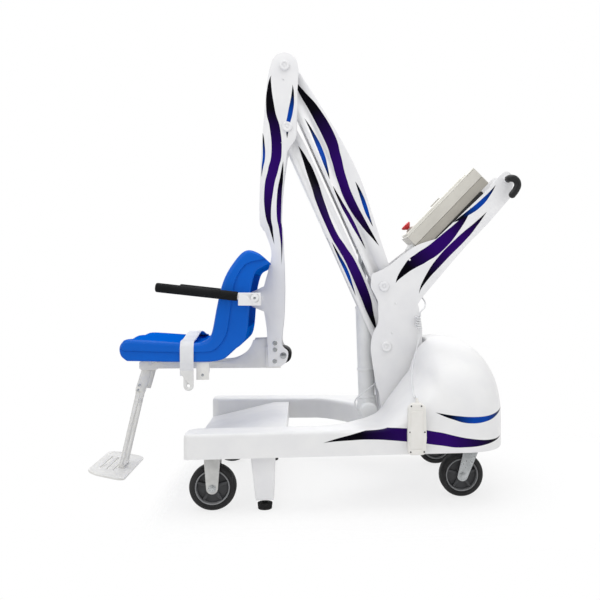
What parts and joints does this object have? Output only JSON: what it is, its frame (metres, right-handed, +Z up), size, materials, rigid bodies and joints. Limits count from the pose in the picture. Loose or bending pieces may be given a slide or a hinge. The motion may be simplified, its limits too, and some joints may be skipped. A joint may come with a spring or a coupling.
{
  "type": "pool patient lift",
  "caption": "Wheeled lift that swings a seated person over a pool edge on a motor driven parallel boom, with a counterweighted base, control box and hanging chair.",
  "frame": {"origin": "on the floor under the middle of the bounding box", "axes": "+X from the footrest to the push handle, +Y across from the sitter's left to right, +Z up"},
  "size_m": [1.5534, 0.914, 1.5821],
  "materials": {
    "white_paint": "gloss",
    "white_cover": "gloss",
    "iron": "rough",
    "black_rubber": "matt",
    "zinc": "zinc plated",
    "tyre": "matt",
    "hub_plastic": "satin",
    "grey_plastic": "satin",
    "battery_plastic": "satin",
    "red_plastic": "gloss",
    "polished_steel": "polished",
    "blue_plastic": "gloss",
    "webbing": "woven",
    "cord_plastic": "satin"
  },
  "bodies": {
    "chassis": {"base_frame": "white_paint", "rear_cover": "white_cover", "nose_deck": "white_cover", "rail_cover_left": "white_cover", "counterweight_left": "iron", "rubber_foot_left": "black_rubber", "mast_plate_left": "white_paint", "push_grip_left": "black_rubber", "front_fork_left": "zinc", "swivel_plate_left": "zinc", "rail_cover_right": "white_cover", "counterweight_right": "iron", "rubber_foot_right": "black_rubber", "mast_plate_right": "white_paint", "push_grip_right": "black_rubber", "front_fork_right": "zinc", "swivel_plate_right": "zinc", "control_box": "grey_plastic", "control_lid": "white_cover", "battery": "battery_plastic", "box_tray": "white_paint", "handle_bar": "white_paint", "boom_pin": "white_paint", "link_pin": "white_paint", "hand_control": "white_cover", "cord_upper": "cord_plastic", "cord_curls": "cord_plastic", "cord_lower": "cord_plastic"},
    "boom": {"boom": "white_paint"},
    "lower_link": {"lower_link": "white_paint"},
    "drive_body": {"drive_body": "white_paint", "drive_cable": "cord_plastic"},
    "drive_rod": {"drive_rod": "polished_steel"},
    "chair": {"arm_plate_left": "white_paint", "arm_plate_right": "white_paint", "arm_top_pin": "white_paint", "arm_link_pin": "white_paint", "armrest_bar": "white_paint", "chair_frame": "white_paint", "seat_shell": "blue_plastic", "lap_belt": "webbing", "roller_axle": "zinc"},
    "wall_roller": {"wall_roller": "black_rubber"},
    "footrest": {"foot_legs": "white_paint", "foot_plate": "white_paint"},
    "stop_button": {"stop_button": "red_plastic"},
    "armrest_left": {"armrest_left": "white_paint", "armrest_grip_left": "black_rubber"},
    "front_wheel_left": {"front_tyre_left": "tyre", "front_hub_left": "hub_plastic"},
    "swivel_left": {"swivel_fork_left": "zinc"},
    "rear_wheel_left": {"rear_tyre_left": "tyre", "rear_hub_left": "hub_plastic"},
    "armrest_right": {"armrest_right": "white_paint", "armrest_grip_right": "black_rubber"},
    "front_wheel_right": {"front_tyre_right": "tyre", "front_hub_right": "hub_plastic"},
    "swivel_right": {"swivel_fork_right": "zinc"},
    "rear_wheel_right": {"rear_tyre_right": "tyre", "rear_hub_right": "hub_plastic"}
  },
  "joints": [
    {"name": "boom_lift", "type": "hinge", "parent": "chassis", "child": "boom", "pos_m": [0.27559, 0, 0.731], "axis": [0, -1, 0], "range_deg": [0, 80]},
    {"name": "link_swing", "type": "hinge", "parent": "chassis", "child": "lower_link", "pos_m": [0.28459, 0, 0.509], "axis": [0, -1, 0], "range_deg": [0, 80.5]},
    {"name": "chair_level", "type": "hinge", "parent": "boom", "child": "chair", "pos_m": [-0.08877, 0, 1.53422], "axis": [0, -1, 0], "range_deg": [-80.5, 0]},
    {"name": "drive_tilt", "type": "hinge", "parent": "chassis", "child": "drive_body", "pos_m": [0.22159, 0, 0.222], "axis": [0, -1, 0], "range_deg": [0, 9.75]},
    {"name": "drive_stroke", "type": "slide", "parent": "drive_body", "child": "drive_rod", "axis": [-0.0339, 0, 0.9994], "range_m": [-0.17919, 0]},
    {"name": "footrest_fold", "type": "hinge", "parent": "chair", "child": "footrest", "pos_m": [-0.61541, 0, 0.372], "axis": [0, -1, 0], "range_deg": [0, 40]},
    {"name": "wall_roller_spin", "type": "hinge", "parent": "chair", "child": "wall_roller", "pos_m": [-0.09441, 0, 0.478], "axis": [0, 1, 0], "continuous": true},
    {"name": "stop_press", "type": "slide", "parent": "chassis", "child": "stop_button", "axis": [0.7193, 0, -0.6947], "range_m": [0, 0.005], "stiffness_N_per_m": 600},
    {"name": "armrest_left_flip", "type": "hinge", "parent": "chair", "child": "armrest_left", "pos_m": [-0.18641, -0.262, 0.691], "axis": [0, 1, 0], "range_deg": [0, 95]},
    {"name": "front_wheel_left_spin", "type": "hinge", "parent": "chassis", "child": "front_wheel_left", "pos_m": [-0.31741, -0.362, 0.0762], "axis": [0, 1, 0], "continuous": true},
    {"name": "swivel_left_turn", "type": "hinge", "parent": "chassis", "child": "swivel_left", "pos_m": [0.55859, -0.255, 0.15], "axis": [0, 0, 1], "continuous": true},
    {"name": "rear_wheel_left_spin", "type": "hinge", "parent": "swivel_left", "child": "rear_wheel_left", "pos_m": [0.52659, -0.255, 0.0762], "axis": [0, 1, 0], "continuous": true},
    {"name": "armrest_right_flip", "type": "hinge", "parent": "chair", "child": "armrest_right", "pos_m": [-0.18641, 0.262, 0.691], "axis": [0, 1, 0], "range_deg": [0, 95]},
    {"name": "front_wheel_right_spin", "type": "hinge", "parent": "chassis", "child": "front_wheel_right", "pos_m": [-0.31741, 0.362, 0.0762], "axis": [0, 1, 0], "continuous": true},
    {"name": "swivel_right_turn", "type": "hinge", "parent": "chassis", "child": "swivel_right", "pos_m": [0.55859, 0.255, 0.15], "axis": [0, 0, 1], "continuous": true},
    {"name": "rear_wheel_right_spin", "type": "hinge", "parent": "swivel_right", "child": "rear_wheel_right", "pos_m": [0.52659, 0.255, 0.0762], "axis": [0, 1, 0], "continuous": true}
  ],
  "couplings": [
    {"joint": "link_swing", "follows": "boom_lift", "ratio": 1},
    {"joint": "chair_level", "follows": "boom_lift", "ratio": -1},
    {"joint": "drive_tilt", "follows": "boom_lift", "ratio": 0.12063},
    {"joint": "drive_stroke", "follows": "boom_lift", "m_per_rad": -0.12798}
  ]
}
